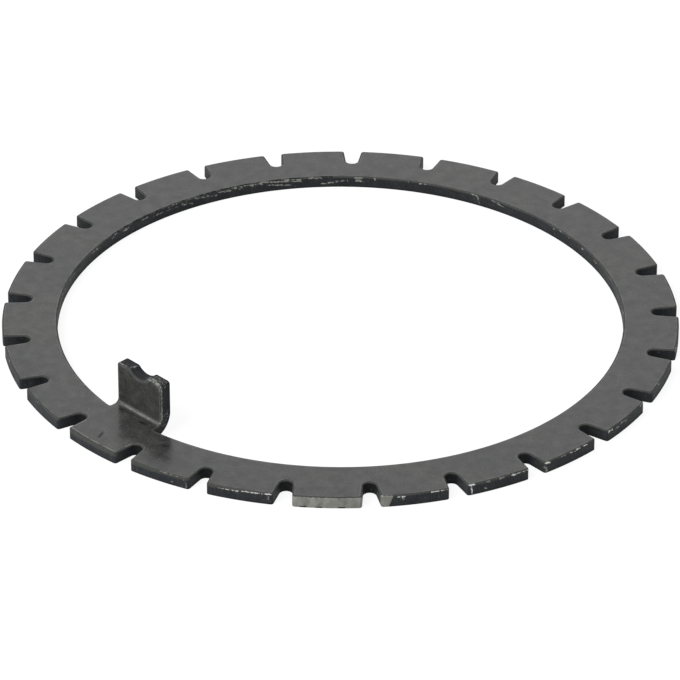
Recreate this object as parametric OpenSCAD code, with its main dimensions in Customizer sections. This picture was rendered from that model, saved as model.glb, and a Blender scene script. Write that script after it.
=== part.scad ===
// Notched lock washer: a flat steel ring stamped from sheet, with open notches round its rim
// and one tang at the bore, bent square to the ring.
// The origin is at the centre of the bore on the underside. +Z is the way the tang points,
// and the tang stands on the -Y side. All sizes are in millimetres and degrees.

/* [Ring] */
// Diameter over the rim
outer_d = 110; // [104:0.5:150]
// Diameter of the bore
bore_d = 92; // [60:0.1:98]
// Thickness of the sheet
sheet_t = 2; // [1.2:0.1:3]
// Width of the edge that stamping rolls over, across the upper face
roll_w = 0.3; // [0.15:0.05:0.6]
// Height of the rolled edge, down the side
roll_h = 0.2; // [0.1:0.05:0.5]

/* [Rim notches] */
// Number of notches round the rim
notch_count = 25; // [8:1:36]
// Depth of a notch from the rim
notch_depth = 4.25; // [3:0.05:6]
// Radius of the round root of a notch
notch_root_r = 1.05; // [0.7:0.05:1.4]
// Angle of each side of a notch from its middle line
notch_side_a = 8; // [0:0.5:20]
// Radius of the corners where a notch meets the rim
corner_r = 0.4; // [0.2:0.05:1]
// Angle from the middle of the tang back to the nearest notch
notch_clock = 6.4; // [0:0.1:14]

/* [Tang] */
// Width of the tang
tang_w = 10.2; // [6:0.1:16]
// Height of the tang above the upper face
tang_h = 7.3; // [5:0.1:14]
// Inside radius of the bend
bend_r = 1; // [0.5:0.05:2]
// Outside radius of the bend
bend_out_r = 3.9; // [3:0.05:4.5]
// Flat run along each side of the tang, from the bore to the bend
bend_gap = 0.72; // [0.6:0.01:1.5]
// Radius of the fillets where the sides of the tang meet the bore
root_fillet_r = 0.5; // [0.3:0.05:0.8]
// Corner radius left on the face of the tang at its two upper corners
tang_corner_r = 0.2; // [0.05:0.05:1]

/* [Tang tip] */
// Radius of the hollow of the notch in the tip
tip_hollow_r = 2.3; // [1:0.05:3]
// Radius of the shoulders that lead into it
tip_shoulder_r = 0.7; // [0.5:0.05:1.6]
// Angle through which the hollow and each shoulder turn
tip_turn_a = 50; // [40:1:60]

/* [Hidden] */
$fn = 96;
over = 0.2;
outer_r = outer_d / 2;
bore_r = bore_d / 2;
// Arcs cross the lines that they run out into by a hundredth of a millimetre
arc_bite = 0.01;
// Rolled edges run on past the ends of a hollow, and start a little before those of a straight side
root_lap_a = 20;
tip_lap_a = 35;
side_lap = 0.1;

// Rim notch: its frame has x along the rim, y outwards and the middle of the round root at zero.
// The frame of a side is turned by the side's angle, so the side is the line x = notch_root_r.
notch_pitch = 360 / notch_count;
first_notch_a = -90 - notch_clock;
root_d = outer_r - notch_depth + notch_root_r;
// The corner rounds meet the rim at this angle
run_out_a = 40;
corner_d = sqrt(pow(outer_r, 2) + pow(corner_r, 2) - 2 * outer_r * corner_r * cos(run_out_a));
corner_x = notch_root_r + corner_r;
corner_off = corner_x - root_d * sin(notch_side_a);
corner_y = micron(sqrt(pow(corner_d, 2) - pow(corner_off, 2)) - root_d * cos(notch_side_a));

// Tang, with distances measured from the middle of the ring
half_w = tang_w / 2;
tang_root_d = micron(sqrt(pow(bore_r, 2) - pow(half_w, 2)));
seat_d = bore_r + sheet_t;
bend_d = tang_root_d - bend_gap;
face_d = bend_d - bend_r;
back_d = face_d - sheet_t;
bend_start_d = back_d + bend_out_r;
bend_z = sheet_t + bend_r;
fillet_x = half_w + root_fillet_r - arc_bite;
fillet_d = micron(sqrt(pow(bore_r - root_fillet_r + arc_bite, 2) - pow(fillet_x, 2)));
fillet_lap = 0.05;
fillet_h = sheet_t - roll_h - fillet_lap;
tip_z = sheet_t + tang_h;
tang_corner = roll_w + tang_corner_r;
tang_corner_x = half_w - tang_corner;
tang_corner_z = tip_z - tang_corner;

// Notch in the tip: two shoulder arcs run straight into the hollow arc between them, and out
// into the tip at a slight angle
arcs_r = tip_hollow_r + tip_shoulder_r;
shoulder_x = micron(arcs_r * sin(tip_turn_a));
hollow_z = micron(tip_z - arcs_r * (1 - cos(tip_turn_a)) + tip_hollow_r + arc_bite);

// A worked-out size, rounded to a thousandth
function micron(v) = round(v * 1000) / 1000;

// Both halves of a shape that is the same left and right
module both_sides() {
    children();
    mirror([1, 0, 0]) children();
}

// Section of what stamping rolls away at an edge: x runs into the sheet, y up from its upper face
module roll_section(past = over) {
    slope = roll_h / roll_w;
    polygon([[-past, -roll_h - past * slope], [roll_w + over / slope, over], [-past, over]]);
}

// Rolled edge along +Y, with the sheet on its +X side and its upper face at z = 0
module roll_straight(length, past = over) {
    translate([0, length, 0]) rotate([90, 0, 0]) linear_extrude(length) roll_section(past);
}

// Rolled edge round a hollow of radius r, from the +X direction through an angle
module roll_hollow(r, angle) {
    rotate_extrude(angle = angle) translate([r + 2 * arc_bite, 0]) roll_section();
}

// Ring before its notches are cut: square edges below, rolled edges above
module ring() {
    rotate_extrude() polygon([[bore_r, 0], [outer_r, 0], [outer_r, sheet_t - roll_h],
        [outer_r - roll_w, sheet_t], [bore_r + roll_w, sheet_t], [bore_r, sheet_t - roll_h]]);
}

// One notch: round root, sides that open outwards, and rounded corners at the rim
module notch_outline() {
    reach = notch_depth + over;
    circle(notch_root_r);
    intersection() {
        rotate(-notch_side_a) translate([-reach, 0]) square([reach + notch_root_r, reach]);
        rotate(notch_side_a) translate([-notch_root_r, 0]) square([reach + notch_root_r, reach]);
    }
    both_sides() rotate(-notch_side_a) difference() {
        translate([0, corner_y]) square([corner_x, reach - corner_y]);
        translate([corner_x, corner_y]) circle(corner_r);
    }
}

// One notch with the rolled edge that follows it round
module rim_notch() {
    translate([0, 0, -over]) linear_extrude(sheet_t + 2 * over) notch_outline();
    translate([0, 0, sheet_t]) {
        rotate(180 + notch_side_a - root_lap_a)
            roll_hollow(notch_root_r, 180 - 2 * notch_side_a + 2 * root_lap_a);
        both_sides() rotate(-notch_side_a) translate([notch_root_r, -side_lap])
            roll_straight(notch_depth + over);
    }
}

// Side view of the tang: x outwards from the middle of the ring, y up
module tang_profile() {
    difference() {
        union() {
            translate([bend_start_d, 0]) square([seat_d - bend_start_d, tip_z]);
            translate([back_d, bend_out_r]) square([bend_out_r, tip_z - bend_out_r]);
            intersection() {
                translate([bend_start_d, bend_out_r]) circle(bend_out_r);
                translate([back_d, 0]) square(bend_out_r);
            }
        }
        translate([bend_d, sheet_t]) square([seat_d, tip_z]);
        translate([face_d, bend_z]) square([seat_d, tip_z]);
        translate([bend_d, bend_z]) circle(bend_r);
    }
}

// Notch in the tip, seen from outside the ring
module tip_notch() {
    translate([0, hollow_z]) circle(tip_hollow_r);
    both_sides() intersection() {
        translate([0, hollow_z]) rotate(tip_turn_a - 90) difference() {
            square(arcs_r + tip_shoulder_r);
            translate([arcs_r, 0]) circle(tip_shoulder_r);
        }
        square([shoulder_x, tip_z + arcs_r]);
    }
}

// Front view of the tang, seen from outside the ring
module tang_outline() {
    difference() {
        translate([-half_w, 0]) square([tang_w, tip_z]);
        tip_notch();
        both_sides() translate([tang_corner_x, tang_corner_z]) difference() {
            square(tang_corner + over);
            circle(tang_corner);
        }
    }
}

// Fillets between the sides of the tang and the bore, below the rolled edges
module root_fillets() {
    both_sides() difference() {
        translate([half_w - fillet_lap, -seat_d])
            square([root_fillet_r + fillet_lap - arc_bite, seat_d - fillet_d]);
        translate([fillet_x, -fillet_d]) circle(root_fillet_r);
    }
}

// Tang as bent
module tang() {
    intersection() {
        rotate([90, 0, -90]) linear_extrude(tang_w, center = true) tang_profile();
        rotate([90, 0, 0]) linear_extrude(seat_d + over) tang_outline();
    }
    linear_extrude(fillet_h) root_fillets();
}

// Rolled edge of the tang: flat run, bend, upright sides, tip and the hollow in it
module tang_rolls() {
    both_sides() {
        translate([-half_w, -tang_root_d - roll_w, sheet_t]) roll_straight(roll_w + bend_gap, 0);
        translate([0, -bend_d, bend_z]) rotate([0, 90, 0]) rotate_extrude(angle = 90)
            translate([bend_r, half_w]) mirror([1, 1]) roll_section();
    }
    translate([0, -face_d, 0]) rotate([90, 0, 0]) {
        both_sides() translate([-half_w, bend_z]) roll_straight(tip_z - bend_z + over);
        translate([-half_w - over, tip_z]) rotate(-90) roll_straight(tang_w + 2 * over);
        translate([0, hollow_z]) rotate(-90 - tip_turn_a - tip_lap_a)
            roll_hollow(tip_hollow_r, 2 * (tip_turn_a + tip_lap_a));
    }
}

// The whole washer, one piece of sheet
module lock_washer() {
    color("dimgray") difference() {
        union() {
            ring();
            tang();
        }
        for (k = [0 : notch_count - 1])
            rotate(first_notch_a - 90 + k * notch_pitch) translate([0, root_d, 0]) rim_notch();
        tang_rolls();
    }
}

lock_washer();
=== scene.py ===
"""Notched lock washer: the dressed model, its black oxide finish and wear, and a white studio set."""

import math
import random

import bpy
import numpy as np
from mathutils import Matrix, Vector, noise
from mathutils.geometry import delaunay_2d_cdt


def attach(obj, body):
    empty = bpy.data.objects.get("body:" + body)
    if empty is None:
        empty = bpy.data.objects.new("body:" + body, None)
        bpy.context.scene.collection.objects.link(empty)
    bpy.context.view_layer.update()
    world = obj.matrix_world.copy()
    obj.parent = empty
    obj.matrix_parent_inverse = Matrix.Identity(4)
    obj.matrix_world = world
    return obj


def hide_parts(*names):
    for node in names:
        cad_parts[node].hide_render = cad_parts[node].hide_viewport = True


MM = 0.001
TURN = 2 * math.pi
QUARTER = math.pi / 2

# Sheet and ring, in millimetres
SHEET_T = 2.0
OUTER_R = 55.0
BORE_R = 46.0
MIDDLE_R = (OUTER_R + BORE_R) / 2

# Edges: rolled over on the upper face, nearly sharp on the underside
ROLL_W = 0.30
ROLL_H = 0.22
# Rows on the flat face before the roll starts
CREST_INSETS = (0.41, 0.37)
BURR_R = 0.06

# Rim notches
NOTCH_COUNT = 25
NOTCH_PITCH = TURN / NOTCH_COUNT
FIRST_NOTCH = math.radians(-96.4)
NOTCH_DEPTH = 4.25
ROOT_R = 1.05
SIDE_A = math.radians(8)
CORNER_R = 0.45
ROOT_D = OUTER_R - NOTCH_DEPTH + ROOT_R

# Tang
HALF_W = 5.1
FILLET_R = 0.3
FILLET_X = HALF_W + FILLET_R
FILLET_A = math.asin(FILLET_X / (BORE_R - FILLET_R))
FILLET_D = (BORE_R - FILLET_R) * math.cos(FILLET_A)
FACE_D = 43.996
BEND_R = 0.7
BEND_OUT_R = 3.9
BEND_D = FACE_D + BEND_R
BACK_D = FACE_D - SHEET_T
START_D = BACK_D + BEND_OUT_R
BEND_Z = SHEET_T + BEND_R
TIP_Z = 9.3
FLAT_RUN = START_D - BEND_D
BEND_LEN = 3.1
BEND_END = FLAT_RUN + BEND_LEN
UPRIGHT = TIP_Z - BEND_Z
TANG_CORNER_R = 0.5
TIP_HOLLOW_R = 2.3
TIP_SHOULDER_R = 0.7
TIP_TURN = math.radians(50)

# Mesh steps
LOBE_STEPS = 36
WORN_LOBE_STEPS = 88
WORN_LOBES = range(1, 8)
CORNER_STEPS = 6
WALL_STEPS = 9
ROOT_STEPS = 18
BORE_STEP = math.radians(0.5)
WORN_BORE_STEP = math.radians(0.15)
WORN_BORE = (math.radians(95), math.radians(190))
FILLET_STEPS = 10
BEND_STEPS = 16
UPRIGHT_STEPS = 30
ROLL_STEPS = 7
SIDE_STEPS = 12
BURR_STEPS = 2
TANG_CORNER_STEPS = 8
TIP_STEPS = 10
WELD = 1e-7

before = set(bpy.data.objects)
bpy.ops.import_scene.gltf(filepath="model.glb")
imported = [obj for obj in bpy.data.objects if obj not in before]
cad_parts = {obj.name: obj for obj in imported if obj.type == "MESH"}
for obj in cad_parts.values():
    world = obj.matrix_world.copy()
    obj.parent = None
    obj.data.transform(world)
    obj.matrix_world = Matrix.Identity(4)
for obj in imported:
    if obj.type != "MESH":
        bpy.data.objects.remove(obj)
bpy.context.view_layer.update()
random.seed(7)


# Outline of the flat blank. A sample is (x, y, normal x, normal y), with the metal on the left.
def arc(centre, radius, start, end, steps, hollow=False):
    sign = -1 if hollow else 1
    out = []
    for i in range(steps):
        a = start + (end - start) * i / steps
        c, s = math.cos(a), math.sin(a)
        out.append((centre[0] + radius * c, centre[1] + radius * s, sign * c, sign * s))
    return out


def line(start, end, normal, steps):
    out = []
    for i in range(steps):
        f = i / steps
        out.append((start[0] + (end[0] - start[0]) * f, start[1] + (end[1] - start[1]) * f, *normal))
    return out


def turned(samples, angle, shift=(0.0, 0.0)):
    c, s = math.cos(angle), math.sin(angle)
    out = []
    for x, y, nx, ny in samples:
        x, y = x + shift[0], y + shift[1]
        out.append((c * x - s * y, s * x + c * y, c * nx - s * ny, s * nx + c * ny))
    return out


def mirrored(samples):
    return [(-x, y, -nx, ny) for x, y, nx, ny in samples]


def notch_outline():
    """One notch from its clockwise corner to the other, and the half angle that it takes of the rim."""
    ring_x = ROOT_D * math.sin(SIDE_A)
    ring_y = -ROOT_D * math.cos(SIDE_A)
    cx = ROOT_R + CORNER_R
    cy = ring_y + math.sqrt((OUTER_R - CORNER_R) ** 2 - (cx - ring_x) ** 2)
    top = math.atan2(cy - ring_y, cx - ring_x)
    half = QUARTER - top + SIDE_A
    into = arc((cx, cy), CORNER_R, top, math.pi, CORNER_STEPS)
    into += line((ROOT_R, cy), (ROOT_R, 0), (-1, 0), WALL_STEPS)
    out_of = line((ROOT_R, 0), (ROOT_R, cy), (-1, 0), WALL_STEPS)
    out_of += arc((cx, cy), CORNER_R, math.pi, top, CORNER_STEPS)
    samples = turned(into, -SIDE_A)
    samples += arc((0, 0), ROOT_R, -SIDE_A, SIDE_A - math.pi, ROOT_STEPS, hollow=True)
    samples += mirrored(turned(out_of, -SIDE_A))
    return samples, half


def rim_loop():
    notch, half = notch_outline()
    out = []
    for k in range(NOTCH_COUNT):
        middle = FIRST_NOTCH + k * NOTCH_PITCH
        out += turned(notch, middle - QUARTER, (0, ROOT_D))
        steps = WORN_LOBE_STEPS if k in WORN_LOBES else LOBE_STEPS
        out += arc((0, 0), OUTER_R, middle + half, middle + NOTCH_PITCH - half, steps)
    return out


def flat_y(height):
    """Where a height on the upright tang lies on the flat blank."""
    return BEND_END + (height - BEND_Z) - START_D


TIP_Y = flat_y(TIP_Z)


def tang_half():
    """The right side and tip of the tang, from the root fillet's end to the middle of the tip's hollow."""
    rows = [START_D - FILLET_D, FLAT_RUN]
    rows += [FLAT_RUN + BEND_LEN * (i + 1) / BEND_STEPS for i in range(BEND_STEPS)]
    across = len(rows)
    corner_y = flat_y(TIP_Z - TANG_CORNER_R)
    last = rows[-1]
    straight = corner_y + START_D - last
    rows += [last + straight * (i + 1) / UPRIGHT_STEPS for i in range(UPRIGHT_STEPS - 1)]
    out = [(HALF_W, w - START_D, 1.0, 0.0) for w in rows]
    reach = TIP_HOLLOW_R + TIP_SHOULDER_R
    shoulder = (reach * math.sin(TIP_TURN), TIP_Y - TIP_SHOULDER_R)
    hollow = (0.0, shoulder[1] + reach * math.cos(TIP_TURN))
    corner = (HALF_W - TANG_CORNER_R, corner_y)
    out += arc(corner, TANG_CORNER_R, 0, QUARTER, TANG_CORNER_STEPS)
    out += line((corner[0], TIP_Y), (shoulder[0], TIP_Y), (0, 1), TIP_STEPS)
    out += arc(shoulder, TIP_SHOULDER_R, QUARTER, QUARTER + TIP_TURN, TIP_STEPS)
    out += arc(hollow, TIP_HOLLOW_R, TIP_TURN - QUARTER, -QUARTER, TIP_STEPS, hollow=True)
    middle = (0.0, hollow[1] - TIP_HOLLOW_R, 0.0, 1.0)
    return out, middle, across


def bore_loop():
    """The bore and the tang's outline, and where the right and left rows of the tang start in it."""
    down = -QUARTER
    low, high = WORN_BORE
    out = []
    for start, end, step in (
        (down - FILLET_A + TURN, high, BORE_STEP),
        (high, low, WORN_BORE_STEP),
        (low, down + FILLET_A, BORE_STEP),
    ):
        steps = math.ceil((start - end) / step)
        out += arc((0, 0), BORE_R, start, end, steps, hollow=True)
    right = len(out)
    out += arc((FILLET_X, -FILLET_D), FILLET_R, down + FILLET_A, -math.pi, FILLET_STEPS, hollow=True)
    half, middle, rows = tang_half()
    out += half
    out.append(middle)
    out += mirrored(half[::-1])
    ends = arc((-FILLET_X, -FILLET_D), FILLET_R, 0, down - FILLET_A, FILLET_STEPS, hollow=True)
    out += ends[1:]
    left = len(out)
    pairs = [(right + i, left - i) for i in range(1, FILLET_STEPS + rows)]
    return out, pairs


# Section across an edge, from the upper face down to the underside: (inset, height)
def edge_section():
    out = [(inset, SHEET_T) for inset in CREST_INSETS]
    for i in range(ROLL_STEPS + 1):
        a = QUARTER * i / ROLL_STEPS
        out.append((ROLL_W * (1 - math.sin(a)), SHEET_T - ROLL_H * (1 - math.cos(a))))
    low, high = BURR_R, SHEET_T - ROLL_H
    for i in range(SIDE_STEPS):
        out.append((0.0, high + (low - high) * (i + 1) / SIDE_STEPS))
    for i in range(BURR_STEPS):
        a = QUARTER * (i + 1) / BURR_STEPS
        out.append((BURR_R * (1 - math.cos(a)), BURR_R * (1 - math.sin(a))))
    return out


def tang_run(x, y):
    """How far a point of the flat blank lies past the tang's root, or 0 outside the tang."""
    if abs(x) > FILLET_X + FILLET_R / 2 or y > -BORE_R / 2:
        return 0.0
    return max(y + START_D, 0.0)


def bend_angle(w):
    return QUARTER * min(max((w - FLAT_RUN) / BEND_LEN, 0), 1)


def bent(x, y, z):
    """A point of the flat blank after the tang is bent up."""
    w = tang_run(x, y)
    if w == 0:
        return x, y, z
    over = max(w - BEND_END, 0)
    a = bend_angle(w)
    flat = min(w, FLAT_RUN)
    top_d = START_D - flat - BEND_R * math.sin(a)
    top_z = SHEET_T + BEND_R * (1 - math.cos(a)) + over
    b = math.asin(flat / BEND_OUT_R)
    b += (QUARTER - b) * a / QUARTER
    low_d = START_D - BEND_OUT_R * math.sin(b)
    low_z = BEND_OUT_R * (1 - math.cos(b)) + over * (TIP_Z - BEND_OUT_R) / UPRIGHT
    f = z / SHEET_T
    return x, -(low_d + (top_d - low_d) * f), low_z + (top_z - low_z) * f


def face_normal(x, y):
    """Normal of the upper face at a point of the flat blank."""
    a = bend_angle(tang_run(x, y))
    return 0.0, -math.sin(a), math.cos(a)


# Wear: each mark is a line on the flat blank with a half width and a strength
marks = []
# Worn lines whose steel also gets a painted highlight
gleams = []
bites = []
# A mark fades out from 0.5 to 1.5 times its half width, times the blot
BLOT = 1.2
MARK_FADE = 1.5
SCUFF_HALF = 0.12
# Dark spots on the bare lobe: half length in degrees, height and half width
SPOT_REACH = 0.4
SPOT_Z = 0.13
SPOT_HALF = 0.15
# Chips: heights, slant, length in degrees, half width and least strength
FLECK_LOW = 1.45
FLECK_HIGH = 1.9
FLECK_DROP = 0.1
FLECK_MIN = 0.15
FLECK_MAX = 1.3
FLECK_HALF = 0.15
FLECK_WEAK = 0.55
# Dark bites out of the bore's upper edge: count, angles, depth, length in degrees and half width
BITES = 46
BITE_SPAN = (138, 192)
BITE_DEPTH = 0.16
BITE_MIN = 0.1
BITE_MAX = 0.7
BITE_HALF = 0.16


def rim_at(angle, z):
    a = math.radians(angle)
    return OUTER_R * math.cos(a), OUTER_R * math.sin(a), z


def bore_at(angle, z):
    a = math.radians(angle)
    return BORE_R * math.cos(a), BORE_R * math.sin(a), z


def tang_at(x, height):
    return x, flat_y(height), SHEET_T - ROLL_H


def side_at(height, z):
    return HALF_W, flat_y(height), z


def tip_at(x, z):
    return x, TIP_Y, z


def edge_at(angle, inset):
    a = math.radians(angle)
    return (BORE_R + inset) * math.cos(a), (BORE_R + inset) * math.sin(a), SHEET_T


def scuff(at, start, end, half=SCUFF_HALF, strength=1.0, into=marks):
    """A worn line from one place to another, each given as the place function takes it."""
    steps = max(1, math.ceil(abs(end[0] - start[0])))
    path = []
    for i in range(steps + 1):
        f = i / steps
        path.append(at(start[0] + (end[0] - start[0]) * f, start[1] + (end[1] - start[1]) * f))
    into.append((np.array(path), half, strength))


def flecks(at, low, high, count):
    """Small chips scattered along an upper edge between two angles."""
    for _ in range(count):
        a = random.uniform(low, high)
        z = random.uniform(FLECK_LOW, FLECK_HIGH)
        drop = random.uniform(-FLECK_DROP, FLECK_DROP)
        reach = random.uniform(FLECK_MIN, FLECK_MAX)
        scuff(at, (a, z), (a + reach, z + drop), FLECK_HALF, random.uniform(FLECK_WEAK, 1.0))


# The two lobes left of the bare one: a broken bright line along the edge, worn steel with a painted
# highlight, and short upright ticks
scuff(rim_at, (-64.0, 1.62), (-60.6, 1.68), 0.09, 1.0, gleams)
scuff(rim_at, (-59.9, 1.74), (-57.0, 1.78), 0.09, 1.0, gleams)
scuff(rim_at, (-56.7, 1.80), (-54.6, 1.85), 0.09, 0.9, gleams)
scuff(rim_at, (-55.5, 1.44), (-55.5, 0.93))
scuff(rim_at, (-74.5, 1.91), (-69.1, 1.90), 0.08, 0.8)
scuff(rim_at, (-69.7, 1.29), (-69.6, 0.20), 0.10)
scuff(rim_at, (-69.1, 1.25), (-69.2, 0.49), 0.10)
scuff(rim_at, (-72.3, 0.64), (-71.9, 0.67), 0.10, 0.8)
# The lobes right of it: a chip, a mark like a T, and broken lines that slant across the edge; the gleams
# among them are worn steel with a painted highlight
scuff(rim_at, (-34.6, 1.66), (-33.5, 1.62), 0.13, 1.0, gleams)
scuff(rim_at, (-33.8, 1.60), (-33.6, 1.12), 0.14)
scuff(rim_at, (-29.0, 1.86), (-25.6, 1.86), 0.08, 1.0, gleams)
scuff(rim_at, (-22.6, 1.88), (-21.7, 1.86), 0.14, 1.0, gleams)
scuff(rim_at, (-22.2, 1.85), (-22.1, 0.37), 0.13, 0.9, gleams)
scuff(rim_at, (-19.5, 1.80), (-19.0, 1.76), 0.12, 1.2)
scuff(rim_at, (-19.8, 0.76), (-19.5, 0.60), 0.12, 1.0)
scuff(rim_at, (-17.0, 1.78), (-16.4, 1.74), 0.14, 1.2)
scuff(rim_at, (-14.8, 1.77), (-14.2, 1.72), 0.16, 1.0, gleams)
scuff(rim_at, (-13.8, 1.80), (-11.7, 1.78), 0.10, 0.9, gleams)
scuff(rim_at, (-8.6, 1.80), (-7.3, 1.74), 0.15, 1.0, gleams)
scuff(rim_at, (-8.5, 1.20), (-8.1, 0.35), 0.30, 0.75)
scuff(rim_at, (-5.1, 1.82), (-4.2, 1.86), 0.10, 1.0)
scuff(rim_at, (-3.1, 1.84), (-1.9, 1.70), 0.11, 0.9, gleams)
scuff(rim_at, (-1.8, 1.86), (-0.9, 1.82), 0.11, 0.9, gleams)
scuff(rim_at, (0.0, 1.84), (0.8, 1.76), 0.11, 0.8, gleams)
scuff(rim_at, (5.9, 1.80), (7.2, 1.72), 0.14, 0.9, gleams)
# Dark spots that are left along the lower edge of the bare lobe
for spot_a in (-49.9, -47.3, -43.6):
    scuff(rim_at, (spot_a - SPOT_REACH, SPOT_Z), (spot_a + SPOT_REACH, SPOT_Z), SPOT_HALF, -1.0)
# Far wall of the bore: long scratches that run together, then scattered chips
scuff(bore_at, (152.6, 1.85), (144.6, 1.38))
scuff(bore_at, (151.9, 1.29), (146.7, 0.76), 0.10)
scuff(bore_at, (148.2, 1.86), (144.6, 1.68))
scuff(bore_at, (158.6, 1.87), (152.8, 1.69), 0.10, 0.8)
scuff(bore_at, (162.7, 1.67), (159.9, 1.43), 0.14)
scuff(bore_at, (167.2, 1.49), (163.2, 1.19), 0.12, 0.85)
scuff(bore_at, (171.7, 1.24), (168.9, 0.93), 0.12, 0.85)
scuff(bore_at, (179.1, 1.24), (173.0, 1.19), 0.10, 0.75)
scuff(bore_at, (182.5, 1.57), (180.8, 1.58), 0.11, 0.85)
scuff(bore_at, (188.5, 1.44), (186.4, 1.37), 0.11, 0.85)
scuff(bore_at, (142.8, 1.82), (140.2, 1.76), 0.14)
scuff(bore_at, (140.2, 0.69), (139.3, 0.66))
scuff(bore_at, (138.7, 0.85), (137.7, 0.89))
scuff(bore_at, (137.1, 1.02), (135.3, 1.22))
scuff(bore_at, (134.7, 1.22), (134.7, 1.61), 0.10)
scuff(bore_at, (133.2, 1.74), (131.6, 1.79), 0.14)
scuff(bore_at, (132.9, 1.26), (131.6, 1.20), 0.16)
scuff(bore_at, (132.6, 1.70), (131.9, 1.24), 0.14, 0.8)
scuff(bore_at, (128.9, 1.79), (128.8, 1.54), 0.14, 0.8)
scuff(bore_at, (119.2, 1.78), (117.8, 1.78), 0.11)
scuff(bore_at, (107.4, 1.88), (105.9, 1.72))
scuff(bore_at, (105.9, 1.72), (105.5, 0.43), 0.11)
scuff(bore_at, (102.3, 1.78), (99.5, 1.28), 0.12, 0.85)
# Tang: its right front edge, both ends of its tip, and chips beside the bend; the edge lines are worn steel
# with a painted highlight
scuff(tang_at, (HALF_W, 3.2), (HALF_W, 8.6), 0.15, 0.95)
scuff(tang_at, (HALF_W, 1.7), (HALF_W, 4.3), 0.26, 0.8)
scuff(side_at, (1.2, 1.0), (3.2, 0.9), 0.4, 0.55)
scuff(tang_at, (4.7, 8.9), (4.4, 9.0), 0.42, 0.9)
scuff(tang_at, (4.4, TIP_Z), (2.3, TIP_Z), 0.13, 0.75)
scuff(tang_at, (-4.5, TIP_Z), (-2.2, TIP_Z), 0.13, 0.7)
scuff(tip_at, (3.4, 1.5), (2.0, 1.3), 0.3, 1.0)
scuff(tip_at, (4.7, 0.9), (2.1, 0.9), 0.8, 0.5)
scuff(tip_at, (4.8, 1.7), (2.2, 1.7), 0.3, 0.9)
scuff(tip_at, (-2.3, 1.7), (-1.9, 0.2), 0.14, 0.9)
flecks(bore_at, 150, 192, 26)
for _ in range(BITES):
    bite_a = random.uniform(*BITE_SPAN)
    bite_in = random.uniform(0.0, BITE_DEPTH)
    bite_end = bite_a + random.uniform(BITE_MIN, BITE_MAX)
    scuff(edge_at, (bite_a, bite_in), (bite_end, bite_in), BITE_HALF, 1.0, bites)
# Parts that the photograph shows at a slant or not at all
flecks(rim_at, 5, 255, 60)
flecks(bore_at, -75, 90, 30)
flecks(bore_at, 195, 255, 16)

# Bare patches of the rim: angles of each end at the underside and the upper face, then two heights
BARE_LOBE = ((-52.8, -52.8), (-39.2, -39.2), -0.2, 1.86)
WEDGE = ((-38.0, -38.0), (-36.05, -35.3), -0.2, 1.95)
PATCH_SOFT = 0.15
PATCH_LEVEL = 2.1
PATCH_REACH = OUTER_R - CORNER_R - PATCH_SOFT


def patch_of(at, patch):
    """How far points lie inside a worn patch of the rim. Its two ends may slant."""
    left, right, low, high = patch
    angle = np.degrees(np.arctan2(at[:, 1], at[:, 0]))
    f = at[:, 2] / SHEET_T
    inside_left = (angle - left[0] - (left[1] - left[0]) * f) * math.radians(OUTER_R)
    inside_right = (right[0] + (right[1] - right[0]) * f - angle) * math.radians(OUTER_R)
    deep = np.minimum(inside_left, inside_right)
    deep = np.minimum(deep, np.minimum(at[:, 2] - low, high - at[:, 2]))
    deep = np.minimum(deep, np.hypot(at[:, 0], at[:, 1]) - PATCH_REACH)
    return np.clip(deep / PATCH_SOFT + 0.5, 0, 1)


def bare_patches(at):
    return PATCH_LEVEL * np.maximum(patch_of(at, BARE_LOBE), patch_of(at, WEDGE))


def level_of(at, lines, total):
    """Level of a list of marks at points of the blank's edges, added to what is there already."""
    for path, half, strength in lines:
        near = np.full(len(at), np.inf)
        for a, b in zip(path[:-1], path[1:]):
            run = b - a
            f = np.clip((at - a) @ run / (run @ run), 0, 1)
            near = np.minimum(near, np.linalg.norm(at - a - f[:, None] * run, axis=1))
        level = np.clip(MARK_FADE - near / (half * BLOT), 0, 1) * abs(strength)
        total = np.maximum(total, level) if strength > 0 else total * (1 - level)
    return total


# Knocked-over corner of the tang
EASE = 1.5
EASE_SLOPE = 0.45


def eased(x, y, z):
    """Height on the blank after the tang's right upper corner is knocked over."""
    if x <= 0 or x > HALF_W or tang_run(x, y) == 0:
        return z
    cut = EASE - (HALF_W - x) - (TIP_Y - y)
    return min(z, SHEET_T - EASE_SLOPE * max(cut, 0))


ROLL_WAVE = 1.7
ROLL_UNEVEN = 0.1


def roll_scale(x, y):
    """The rolled edge is a little uneven all along its length."""
    return 1 + ROLL_UNEVEN * noise.noise((x / ROLL_WAVE, y / ROLL_WAVE, 0.0))


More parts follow.
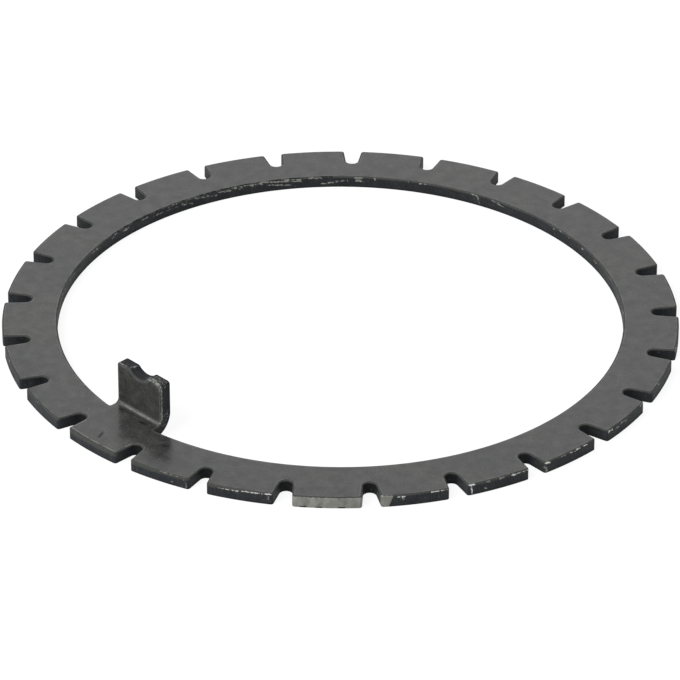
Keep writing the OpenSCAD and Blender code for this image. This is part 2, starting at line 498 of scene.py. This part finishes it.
def build_washer():
    section = edge_section()
    depth = len(section)
    rim = rim_loop()
    bore, pairs = bore_loop()
    blank = []
    along = []
    faces = []
    caps = []
    loops = []
    for loop in (rim, bore):
        base = len(blank)
        count = len(loop)
        loops.append((base, count))
        run = 0.0
        for i, (x, y, nx, ny) in enumerate(loop):
            run += math.hypot(x - loop[i - 1][0], y - loop[i - 1][1]) if i else 0.0
            wide = roll_scale(x, y)
            for inset, z in section:
                px = x - nx * inset * wide
                py = y - ny * inset * wide
                blank.append((px, py, eased(px, py, z)))
                along.append(run)
        for i in range(count):
            a = base + i * depth
            b = base + (i + 1) % count * depth
            for j in range(depth - 1):
                faces.append((a + j, a + j + 1, b + j + 1, b + j))
    walls = len(faces)
    for row, cap in ((0, 1), (depth - 1, -1)):
        flat = []
        where = []
        edges = []
        for base, count in loops:
            first = len(flat)
            where += [base + i * depth + row for i in range(count)]
            flat += [Vector(blank[base + i * depth + row][:2]) for i in range(count)]
            edges += [(first + i, first + (i + 1) % count) for i in range(count)]
        shift = loops[0][1]
        edges += [(shift + a, shift + b) for a, b in pairs]
        for tri in fill(flat, edges, loops):
            ids = [where[v] for v in tri]
            faces.append(tuple(ids if cap > 0 else ids[::-1]))
        for v in where:
            x, y, z = blank[v]
            if cap > 0 and z < SHEET_T:
                continue
            caps.append((v, tuple(cap * c for c in face_normal(x, y))))
    return blank, along, faces, walls, caps, depth


def inside(px, py, ring):
    """Even-odd test of many points against one closed ring."""
    x0, y0 = ring[:, 0], ring[:, 1]
    x1, y1 = np.roll(x0, -1), np.roll(y0, -1)
    hit = np.zeros(len(px), dtype=bool)
    for a, b, c, d in zip(x0, y0, x1, y1):
        if b == d:
            continue
        across = (b > py) != (d > py)
        hit ^= across & (px < (c - a) * (py - b) / (d - b) + a)
    return hit


def fill(flat, edges, loops):
    """Triangles that fill the blank between its rim and its bore."""
    verts, _, tris, origin, _, _ = delaunay_2d_cdt(flat, edges, [], 0, WELD)
    back = [o[0] for o in origin]
    at = np.array([(v.x, v.y) for v in verts])
    mid = np.array([at[list(t)].mean(axis=0) for t in tris])
    ring = np.array([(v.x, v.y) for v in flat])
    split = loops[0][1]
    keep = inside(mid[:, 0], mid[:, 1], ring[:split]) & ~inside(mid[:, 0], mid[:, 1], ring[split:])
    return [tuple(back[v] for v in t) for t, k in zip(tris, keep) if k]


blank, along, faces, walls, caps, depth = build_washer()
points = [bent(*p) for p in blank]
mesh = bpy.data.meshes.new("lock_washer_body")
mesh.from_pydata([tuple(c * MM for c in p) for p in points], [], faces)
washer = bpy.data.objects.new("lock_washer_body", mesh)
bpy.context.scene.collection.objects.link(washer)


def set_normals():
    """Smooth walls, with the flat faces kept flat up to the start of their rolled edges."""
    at = np.array(points)
    total = np.zeros_like(at)
    for f in faces:
        n = np.cross(at[f[2]] - at[f[0]], at[f[-1]] - at[f[1]])
        if len(f) == 3:
            n = np.cross(at[f[1]] - at[f[0]], at[f[2]] - at[f[0]])
        for v in f:
            total[v] += n
    for v, n in caps:
        total[v] = n
    length = np.linalg.norm(total, axis=1)[:, None]
    mesh.polygons.foreach_set("use_smooth", [True] * len(mesh.polygons))
    mesh.normals_split_custom_set_from_vertices([tuple(n) for n in total / length])


def set_attribute(name, values):
    made = mesh.attributes.new(name, "FLOAT", "POINT")
    made.data.foreach_set("value", values)


# Painted highlight line where the roll starts: its rows, the angles of the lobe that shows it, and the rest
CREST_ROWS = (1, 2)
CREST_LOBE = (-95, -83)
CREST_WEAK = 0.3
# Painted highlight strip in the bend: its middle and its width, as angles of the bend
BEND_HIGHLIGHT_A = math.radians(40)
BEND_HIGHLIGHT_WIDE = math.radians(15)


def bend_highlight(x, y):
    """Painted highlight: the inside of the bend is made bright in a narrow strip."""
    off = (bend_angle(tang_run(x, y)) - BEND_HIGHLIGHT_A) / BEND_HIGHLIGHT_WIDE
    return math.exp(-off * off)


# Burnished band at the top of the sheared edge: (first angle, last angle, height at each)
BANDS = ((-96, -83, 0.80, 0.72), (-81, -69, 0.70, 0.45), (-67, -53, 0.60, 0.15))
BAND_MEAN = 0.22
BAND_VARY = 0.25
BAND_WAVE = 6.0
BAND_NOTCH = 0.20
NOTCH_FROM = OUTER_R - 0.5
# Multiplier on the walls' colour, as painted light and shade: lighter on the rim, darkest at the roots of
# its notches, a little darker in the bore
RIM_SHADE = 1.25
ROOT_SHADE = 0.35
BORE_SHADE = 0.95


def band_height(x, y):
    angle = math.degrees(math.atan2(y, x))
    r = math.hypot(x, y)
    if MIDDLE_R < r < NOTCH_FROM:
        return BAND_NOTCH
    if r > NOTCH_FROM:
        for low, high, first, last in BANDS:
            if low < angle < high:
                return first + (last - first) * (angle - low) / (high - low)
    return BAND_MEAN + BAND_VARY * noise.noise((x / BAND_WAVE, y / BAND_WAVE, 1.0))


def set_attributes():
    """What the materials read at each point: wear, painted highlights, bands, painted shade, height in the
    sheet, run along the edge.
    """
    row = np.arange(len(blank)) % depth
    at = np.array(blank)
    on_edge = (row > 0) & (row < depth - 1)
    near = at[on_edge]
    none = np.zeros(len(near))
    gleam = level_of(near, gleams, none)
    worn = np.maximum(level_of(near, marks, bare_patches(near)), gleam)
    for name, values in (("wear", worn), ("gleam", gleam), ("bite", level_of(near, bites, none))):
        full = np.zeros(len(at))
        full[on_edge] = values
        set_attribute(name, full)
    angle = np.degrees(np.arctan2(at[:, 1], at[:, 0]))
    on_rim = np.hypot(at[:, 0], at[:, 1]) > MIDDLE_R
    strong = on_rim & (angle > CREST_LOBE[0]) & (angle < CREST_LOBE[1])
    set_attribute("crest", np.isin(row, CREST_ROWS) * np.where(strong, 1.0, CREST_WEAK))
    set_attribute("band", np.array([band_height(p[0], p[1]) for p in blank]))
    # Painted light and shade on the walls, darkest at the notch roots
    deep = np.clip((OUTER_R - np.hypot(at[:, 0], at[:, 1])) / NOTCH_DEPTH, 0, 1)
    set_attribute("shade", np.where(on_rim, RIM_SHADE + (ROOT_SHADE - RIM_SHADE) * deep, BORE_SHADE))
    # Painted highlight strip inside the bend
    set_attribute("bend", np.array([bend_highlight(p[0], p[1]) for p in blank]))
    set_attribute("sheet", at[:, 2])
    set_attribute("along", np.array(along))


set_normals()
set_attributes()
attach(washer, "root")
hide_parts("lock_washer")


# Node helpers. Noise runs over about this range, and these are its usual detail and roughness.
NOISE_LOW = 0.3
NOISE_HIGH = 0.7
FINE = 3.0
FINE_ROUGH = 0.65
MID_ROUGH = 0.6
PLAIN = 1.0


def add(tree, kind, **values):
    """A new node, with its own settings set by name."""
    node = tree.nodes.new(kind)
    for name, value in values.items():
        setattr(node, name, value)
    return node


def feed(tree, socket, value):
    """Sets a socket to a plain value, or links it."""
    if isinstance(value, bpy.types.NodeSocket):
        tree.links.new(value, socket)
    else:
        socket.default_value = value


def sums(tree, operation, a, b=0.0):
    node = add(tree, "ShaderNodeMath", operation=operation)
    feed(tree, node.inputs[0], a)
    feed(tree, node.inputs[1], b)
    return node.outputs[0]


def spread(tree, value, low, high, to_low=0.0, to_high=1.0):
    """Maps low to high on to another range, and holds the ends."""
    node = add(tree, "ShaderNodeMapRange")
    feed(tree, node.inputs["Value"], value)
    node.inputs["From Min"].default_value = low
    node.inputs["From Max"].default_value = high
    node.inputs["To Min"].default_value = to_low
    node.inputs["To Max"].default_value = to_high
    return node.outputs[0]


def ranged(tree, value, to_low, to_high):
    """Maps noise on to another range."""
    return spread(tree, value, NOISE_LOW, NOISE_HIGH, to_low, to_high)


def mottle(tree, at, size, detail=2.0, rough=0.5):
    """Noise with features of a size in millimetres."""
    node = add(tree, "ShaderNodeTexNoise")
    tree.links.new(at, node.inputs["Vector"])
    node.inputs["Scale"].default_value = 1 / size
    node.inputs["Detail"].default_value = detail
    node.inputs["Roughness"].default_value = rough
    return node.outputs[0]


def blend(tree, amount, a, b):
    """Colour a at amount 0, and b at 1."""
    node = add(tree, "ShaderNodeMix", data_type="RGBA")
    feed(tree, node.inputs[0], amount)
    feed(tree, node.inputs[6], a)
    feed(tree, node.inputs[7], b)
    return node.outputs[2]


def toned(tree, colour, level):
    node = add(tree, "ShaderNodeVectorMath", operation="SCALE")
    feed(tree, node.inputs[0], colour[:3] if isinstance(colour, tuple) else colour)
    feed(tree, node.inputs["Scale"], level)
    return node.outputs[0]


def attribute(tree, name):
    return add(tree, "ShaderNodeAttribute", attribute_name=name).outputs["Fac"]


def millimetres(tree):
    """Position on the object, in millimetres."""
    where = add(tree, "ShaderNodeTexCoord").outputs["Object"]
    return toned(tree, where, 1 / MM)


def placed(tree, at, shift=(0, 0, 0), turn=0.0, size=(1, 1, 1)):
    """Coordinates that are moved, then turned about Z, then divided by a size on each axis."""
    moved = add(tree, "ShaderNodeVectorMath", operation="SUBTRACT")
    tree.links.new(at, moved.inputs[0])
    moved.inputs[1].default_value = shift
    spun = add(tree, "ShaderNodeVectorRotate", rotation_type="Z_AXIS")
    tree.links.new(moved.outputs[0], spun.inputs["Vector"])
    spun.inputs["Angle"].default_value = -turn
    cut = add(tree, "ShaderNodeVectorMath", operation="DIVIDE")
    tree.links.new(spun.outputs[0], cut.inputs[0])
    cut.inputs[1].default_value = size
    return cut.outputs[0]


SCRATCH_CORE = 0.35
HAIR_SPAN = (0.66, 0.74)


def dark_streak(tree, at, centre, turn, long, wide):
    """1 along one straight dark streak on the upper face, fading to 0 round it: scratches, and the painted
    shade at the tang's foot.
    """
    near = placed(tree, at, (*centre, SHEET_T), turn, (long, wide, 1))
    far = add(tree, "ShaderNodeVectorMath", operation="LENGTH")
    tree.links.new(near, far.inputs[0])
    return spread(tree, far.outputs["Value"], SCRATCH_CORE, 1.0, 1.0, 0.0)


def hairlines(tree, at, turn, long, wide):
    """Sparse fine scratches that run one way."""
    lines = mottle(tree, placed(tree, at, turn=turn, size=(long, wide, 1)), 1.0, PLAIN)
    return spread(tree, lines, *HAIR_SPAN)


def bump(tree, height, reach, under=None):
    """A normal raised by a height from 0 to 1 that stands for a reach in millimetres."""
    node = add(tree, "ShaderNodeBump")
    node.inputs["Distance"].default_value = reach * MM
    tree.links.new(height, node.inputs["Height"])
    if under is not None:
        tree.links.new(under, node.inputs["Normal"])
    return node.outputs[0]


# Bare steel: colours, sizes of its noise in millimetres, and how ragged the worn edges are
BARE_BRIGHT = (0.285, 0.285, 0.262, 1)
BARE_DULL = (0.165, 0.165, 0.151, 1)
# Painted highlight on worn edges
PAINTED_GLEAM = (0.60, 0.60, 0.58, 1)
BARE_METAL = 0.85
RAGGED = 0.42
RAGGED_SPAN = (0.25, 0.75, -1.1, 0.6)
BARE_GRAIN = 0.12
BARE_GRAIN_BY = 0.15
BARE_SPAN = (0.35, 0.75)
BLOTCH = 1.1
BLOTCH_DETAIL = 4.0
BLOTCH_TALL = (1, 1, 2.5)
BLOTCH_SPAN = (0.34, 0.64)


def new_material(name):
    made = bpy.data.materials.new(name)
    made.use_nodes = True
    return made, made.node_tree, made.node_tree.nodes["Principled BSDF"]


def bare_steel(tree, at):
    """How far the oxide is worn through, with ragged edges, and the steel's colour there, with a painted
    highlight on the gleams.
    """
    ragged = mottle(tree, at, RAGGED, FINE, FINE_ROUGH)
    grain = mottle(tree, at, BARE_GRAIN, PLAIN)
    level = sums(tree, "ADD", attribute(tree, "wear"), spread(tree, ragged, *RAGGED_SPAN))
    level = sums(tree, "ADD", level, ranged(tree, grain, -BARE_GRAIN_BY, BARE_GRAIN_BY))
    shown = spread(tree, level, *BARE_SPAN)
    blotch = mottle(tree, placed(tree, at, size=BLOTCH_TALL), BLOTCH, BLOTCH_DETAIL, FINE_ROUGH)
    steel = blend(tree, spread(tree, blotch, *BLOTCH_SPAN), BARE_DULL, BARE_BRIGHT)
    return shown, blend(tree, attribute(tree, "gleam"), steel, PAINTED_GLEAM)


# Upper face: colours, then sizes of its noise and the ranges that they are spread over
FACE_WARM = (0.0325, 0.0326, 0.0312, 1)
FACE_COOL = (0.0273, 0.0279, 0.0283, 1)
FACE_GLOSS = 0.63
HAIR_PALE = (0.110, 0.110, 0.106, 1)
CREST_HIGHLIGHT = (0.33, 0.33, 0.32, 1)
MARK_AND_SHADE_DARK = (0.012, 0.012, 0.013, 1)
BEND_HIGHLIGHT = (0.135, 0.135, 0.13, 1)
CLOUD = 13.0
CLOUD_SPAN = (0.36, 0.64)
PATCH = 2.1
PATCH_TONE = (0.55, 1.45)
PATCH_BUMP = 0.012
GRAIN = 0.22
GRAIN_ROUGH = 0.7
GRAIN_TONE = (0.50, 1.50)
GRAIN_BUMP = 0.006
# Two sets of hairlines: direction, length and width
HAIRS = ((0.5, 9.0, 0.10), (2.2, 7.0, 0.12))
HAIR_AREA = 7.0
HAIR_AREA_SPAN = (0.46, 0.62)
HAIR_LEVEL = 0.35
HAIR_BUMP = 0.003
MARK_SPAN = (0.35, 0.6, 0.6, 1.0)
CREST_SPAN = (0.38, 0.52)
CREST_LEVEL = 0.8
FACE_ROUGH = (0.17, 0.24)
FACE_ROUGH_GRAIN = (0.0, 0.04)
BARE_ROUGH = 0.08
# Painted highlight strip in the bend: where it fades across the tang, and the streaks in it
HIGHLIGHT_FROM = 3.6
HIGHLIGHT_TO = 4.6
HIGHLIGHT_STREAK = (1.0, 0.35, 0.35)
HIGHLIGHT_SPAN = (0.38, 0.60, 0.15, 1.0)

# Dark marks on the upper face; the four at y near -45 are painted shade at the tang's foot: (centre,
# direction, half length, half width, strength)
DARK_MARKS_AND_SHADE = (
    ((0.55, -52.65), 114, 1.40, 0.36, 1.0),
    ((44.4, -23.0), 46, 1.3, 0.16, 0.4),
    ((-2.9, -45.2), 20, 0.7, 0.35, 0.6),
    ((2.5, -45.55), 4, 1.2, 0.42, 0.8),
    ((-1.3, -45.1), 8, 1.5, 0.30, 0.45),
    ((4.6, -45.3), 0, 0.8, 0.30, 0.5),
)


def across_tang(tree, at):
    """1 over the middle of the tang's width, fading to 0 short of its two sides."""
    parts = add(tree, "ShaderNodeSeparateXYZ")
    tree.links.new(at, parts.inputs[0])
    return spread(tree, sums(tree, "ABSOLUTE", parts.outputs[0]), HIGHLIGHT_FROM, HIGHLIGHT_TO, 1.0, 0.0)


def face_material():
    """Satin oxide on the rolled sheet: soft clouds, fine grain and faint hairlines, with painted highlights
    and painted shade.
    """
    made, tree, shader = new_material("blackened_steel_face")
    at = millimetres(tree)
    clouds = mottle(tree, at, CLOUD)
    patches = mottle(tree, at, PATCH, FINE, MID_ROUGH)
    grain = mottle(tree, at, GRAIN, rough=GRAIN_ROUGH)
    colour = blend(tree, spread(tree, clouds, *CLOUD_SPAN), FACE_COOL, FACE_WARM)
    tone = ranged(tree, patches, *PATCH_TONE)
    tone = sums(tree, "MULTIPLY", tone, ranged(tree, grain, *GRAIN_TONE))
    colour = toned(tree, colour, tone)
    lines = 0.0
    for turn, long, wide in HAIRS:
        lines = sums(tree, "MAXIMUM", hairlines(tree, at, turn, long, wide), lines)
    where = mottle(tree, at, HAIR_AREA)
    lines = sums(tree, "MULTIPLY", lines, spread(tree, where, *HAIR_AREA_SPAN))
    colour = blend(tree, sums(tree, "MULTIPLY", lines, HAIR_LEVEL), colour, HAIR_PALE)
    # Dark scratches and bites, and painted shade at the tang's foot
    dark = 0.0
    for centre, turn, long, wide, deep in DARK_MARKS_AND_SHADE:
        mark = sums(tree, "MULTIPLY", dark_streak(tree, at, centre, math.radians(turn), long, wide), deep)
        dark = sums(tree, "MAXIMUM", mark, dark)
    dark = sums(tree, "MULTIPLY", dark, spread(tree, grain, *MARK_SPAN))
    dark = sums(tree, "MAXIMUM", dark, attribute(tree, "bite"))
    colour = blend(tree, dark, colour, MARK_AND_SHADE_DARK)
    # Painted highlight along the start of the roll
    crest = sums(tree, "MULTIPLY", attribute(tree, "crest"), spread(tree, patches, *CREST_SPAN))
    colour = blend(tree, sums(tree, "MULTIPLY", crest, CREST_LEVEL), colour, CREST_HIGHLIGHT)
    # Painted highlight strip inside the bend
    highlit = sums(tree, "MULTIPLY", attribute(tree, "bend"), across_tang(tree, at))
    highlight_streaks = mottle(tree, placed(tree, at, size=HIGHLIGHT_STREAK), 1.0, FINE, FINE_ROUGH)
    highlit = sums(tree, "MULTIPLY", highlit, spread(tree, highlight_streaks, *HIGHLIGHT_SPAN))
    colour = blend(tree, highlit, colour, BEND_HIGHLIGHT)
    shown, steel = bare_steel(tree, at)
    feed(tree, shader.inputs["Base Color"], blend(tree, shown, colour, steel))
    # Metallic also darkens the dark marks and the painted shade
    metal = sums(tree, "MAXIMUM", shown, dark)
    feed(tree, shader.inputs["Metallic"], sums(tree, "MULTIPLY", metal, BARE_METAL))
    rough = ranged(tree, patches, *FACE_ROUGH)
    rough = sums(tree, "ADD", rough, ranged(tree, grain, *FACE_ROUGH_GRAIN))
    rough = sums(tree, "ADD", rough, sums(tree, "MULTIPLY", shown, BARE_ROUGH))
    feed(tree, shader.inputs["Roughness"], rough)
    shader.inputs["Specular IOR Level"].default_value = FACE_GLOSS
    normal = bump(tree, patches, PATCH_BUMP)
    normal = bump(tree, grain, GRAIN_BUMP, normal)
    feed(tree, shader.inputs["Normal"], bump(tree, lines, HAIR_BUMP, normal))
    return made


# Sheared edges: colours, then the band at the top, the dark foot, and the noise
SIDE_DARK = (0.0070, 0.0090, 0.0115, 1)
SIDE_PALE = (0.0340, 0.0370, 0.0390, 1)
SIDE_SPECK = (0.110, 0.113, 0.113, 1)
SIDE_GLOSS = 0.14
BAND_GREY = (0.050, 0.052, 0.048, 1)
BAND_SOFT = 0.10
FOOT_FROM = 0.06
FOOT_TO = 0.32
FOOT_LEVEL = 0.3
BAND_RAGGED = 0.5
BAND_RAGGED_BY = 0.08
BAND_TONE = (0.7, 1.3)
STREAK = (0.16, 1.6, 1)
BROKEN = 0.28
PATTERN_SPAN = (0.32, 0.68)
SIDE_CLOUD = 3.5
SIDE_CLOUD_LEVEL = (0.45, 1.0)
RISE_BY = 0.35
LOW_SPAN = (0.55, 0.85, 1.0, 0.0)
SPECK = 0.16
SPECK_SPAN = (0.62, 0.72)
SPECK_AREA_SPAN = (0.42, 0.62, 0.0, 0.7)
SIDE_ROUGH = (0.60, 0.70)
SIDE_ROUGH_BY = 0.05
SIDE_BUMP = 0.02


def side_material():
    """Blue-black oxide on the sheared edges: a grey band, streaks, and a rougher broken foot."""
    made, tree, shader = new_material("blackened_steel_edge")
    at = millimetres(tree)
    run = add(tree, "ShaderNodeCombineXYZ")
    tree.links.new(attribute(tree, "along"), run.inputs[0])
    height = attribute(tree, "sheet")
    tree.links.new(height, run.inputs[1])
    edge = run.outputs[0]
    streaks = mottle(tree, placed(tree, edge, size=STREAK), 1.0, FINE, MID_ROUGH)
    broken = mottle(tree, edge, BROKEN, FINE, FINE_ROUGH)
    clouds = mottle(tree, edge, SIDE_CLOUD, FINE)
    rise = sums(tree, "ADD", height, ranged(tree, clouds, -RISE_BY, RISE_BY))
    low = spread(tree, rise, *LOW_SPAN)
    joined = add(tree, "ShaderNodeMix")
    feed(tree, joined.inputs[0], low)
    feed(tree, joined.inputs[2], streaks)
    feed(tree, joined.inputs[3], broken)
    pattern = joined.outputs[0]
    level = spread(tree, pattern, *PATTERN_SPAN)
    level = sums(tree, "MULTIPLY", level, ranged(tree, clouds, *SIDE_CLOUD_LEVEL))
    colour = blend(tree, level, SIDE_DARK, SIDE_PALE)
    specks = spread(tree, mottle(tree, edge, SPECK, rough=MID_ROUGH), *SPECK_SPAN)
    specks = sums(tree, "MULTIPLY", specks, spread(tree, clouds, *SPECK_AREA_SPAN))
    colour = blend(tree, specks, colour, SIDE_SPECK)
    colour = toned(tree, colour, spread(tree, height, FOOT_FROM, FOOT_TO, FOOT_LEVEL, 1.0))
    # Painted light and shade: lighter rim walls, darkest notch roots
    colour = toned(tree, colour, attribute(tree, "shade"))
    above = sums(tree, "ADD", sums(tree, "SUBTRACT", height, SHEET_T), attribute(tree, "band"))
    ragged = mottle(tree, at, BAND_RAGGED, FINE, FINE_ROUGH)
    above = sums(tree, "ADD", above, ranged(tree, ragged, -BAND_RAGGED_BY, BAND_RAGGED_BY))
    banded = spread(tree, above, -BAND_SOFT, BAND_SOFT)
    grey = toned(tree, BAND_GREY, ranged(tree, pattern, *BAND_TONE))
    colour = blend(tree, banded, colour, grey)
    colour = blend(tree, attribute(tree, "bite"), colour, SIDE_DARK)
    shown, steel = bare_steel(tree, at)
    feed(tree, shader.inputs["Base Color"], blend(tree, shown, colour, steel))
    feed(tree, shader.inputs["Metallic"], sums(tree, "MULTIPLY", shown, BARE_METAL))
    rough = spread(tree, low, 0.0, 1.0, *SIDE_ROUGH)
    rough = sums(tree, "ADD", rough, ranged(tree, pattern, -SIDE_ROUGH_BY, SIDE_ROUGH_BY))
    feed(tree, shader.inputs["Roughness"], rough)
    shader.inputs["Specular IOR Level"].default_value = SIDE_GLOSS
    feed(tree, shader.inputs["Normal"], bump(tree, pattern, SIDE_BUMP))
    return made


mesh.materials.append(face_material())
mesh.materials.append(side_material())
sheared = np.zeros(len(faces), dtype=np.int32)
sheared[:walls] = np.arange(walls) % (depth - 1) >= len(CREST_INSETS)
mesh.polygons.foreach_set("material_index", sheared)

# Floor and light
HALF_FLOOR = 3.0
FLOOR_LIT = 0.17
FLOOR_GLOW = 0.87
FLOOR_GREY = 0.70
SKY = 0.65
LAMP_AT = Vector((-0.20, -0.80, 0.70))
LAMP_SIZE = 0.9
LAMP_POWER = 9.5

floor_mesh = bpy.data.meshes.new("floor")
corners = [(x * HALF_FLOOR, y * HALF_FLOOR, 0) for x, y in ((-1, -1), (1, -1), (1, 1), (-1, 1))]
floor_mesh.from_pydata(corners, [], [(0, 1, 2, 3)])
floor = bpy.data.objects.new("floor", floor_mesh)
bpy.context.scene.collection.objects.link(floor)


def seen_directly(tree):
    """1 for rays from the camera and for rays in reflections, 0 for the rest of the light."""
    path = add(tree, "ShaderNodeLightPath")
    total = path.outputs["Is Camera Ray"]
    for name in ("Is Glossy Ray", "Is Transmission Ray"):
        total = sums(tree, "MAXIMUM", total, path.outputs[name])
    return total


def white_floor():
    """Pale floor that shows white where it is lit, with a light soft shadow under the washer."""
    made = bpy.data.materials.new("floor_white")
    made.use_nodes = True
    tree = made.node_tree
    tree.nodes.clear()
    out = add(tree, "ShaderNodeOutputMaterial")
    lit = add(tree, "ShaderNodeBsdfDiffuse")
    lit.inputs["Color"].default_value = (FLOOR_LIT, FLOOR_LIT, FLOOR_LIT, 1)
    plain = add(tree, "ShaderNodeBsdfDiffuse")
    plain.inputs["Color"].default_value = (FLOOR_GREY, FLOOR_GREY, FLOOR_GREY, 1)
    glow = add(tree, "ShaderNodeEmission")
    glow.inputs["Strength"].default_value = FLOOR_GLOW
    both = add(tree, "ShaderNodeAddShader")
    mix = add(tree, "ShaderNodeMixShader")
    tree.links.new(lit.outputs[0], both.inputs[0])
    tree.links.new(glow.outputs[0], both.inputs[1])
    tree.links.new(seen_directly(tree), mix.inputs[0])
    tree.links.new(plain.outputs[0], mix.inputs[1])
    tree.links.new(both.outputs[0], mix.inputs[2])
    tree.links.new(mix.outputs[0], out.inputs["Surface"])
    return made


floor_mesh.materials.append(white_floor())

world = bpy.data.worlds.new("studio")
world.use_nodes = True
bpy.context.scene.world = world
sky = world.node_tree
room = sky.nodes["Background"]
room.inputs["Color"].default_value = (1, 1, 1, 1)
room.inputs["Strength"].default_value = SKY
white = add(sky, "ShaderNodeBackground")
white.inputs["Color"].default_value = (1, 1, 1, 1)
pick = add(sky, "ShaderNodeMixShader")
sky.links.new(seen_directly(sky), pick.inputs[0])
sky.links.new(room.outputs[0], pick.inputs[1])
sky.links.new(white.outputs[0], pick.inputs[2])
sky.links.new(pick.outputs[0], sky.nodes["World Output"].inputs["Surface"])

# A broad soft lamp, in front and to the left
lamp = bpy.data.lights.new("softbox", "AREA")
lamp.shape = "SQUARE"
lamp.size = LAMP_SIZE
lamp.energy = LAMP_POWER
softbox = bpy.data.objects.new("softbox", lamp)
softbox.location = LAMP_AT
softbox.rotation_euler = (-LAMP_AT).to_track_quat("-Z", "Y").to_euler()
bpy.context.scene.collection.objects.link(softbox)

# Camera at the photograph's viewing angle
VIEW_AZIMUTH = math.radians(46.1)
VIEW_ELEVATION = 0.5412979
VIEW_ROLL = 0.0022555
VIEW_DISTANCE = 880.0
LOOK_AT = Vector((5.715, -5.410, 2.0))
FOCAL_PIXELS = 5450.3
PICTURE = 680
SENSOR = 36.0
SHIFT_PIXELS = -0.8
NEAREST = 0.05
FARTHEST = 50.0

cam = bpy.data.cameras.new("camera")
camera = bpy.data.objects.new("camera", cam)
bpy.context.scene.collection.objects.link(camera)
bpy.context.scene.camera = camera
back = Vector((
    math.sin(VIEW_AZIMUTH) * math.cos(VIEW_ELEVATION),
    -math.cos(VIEW_AZIMUTH) * math.cos(VIEW_ELEVATION),
    math.sin(VIEW_ELEVATION),
))
camera.location = (LOOK_AT + back * VIEW_DISTANCE) * MM
look = (-back).to_track_quat("-Z", "Y").to_matrix()
camera.rotation_euler = (look @ Matrix.Rotation(VIEW_ROLL, 3, "Z")).to_euler()
cam.sensor_width = SENSOR
cam.lens = FOCAL_PIXELS * SENSOR / PICTURE
cam.shift_x = SHIFT_PIXELS / PICTURE
cam.clip_start = NEAREST
cam.clip_end = FARTHEST

bpy.context.scene.view_settings.view_transform = "Standard"
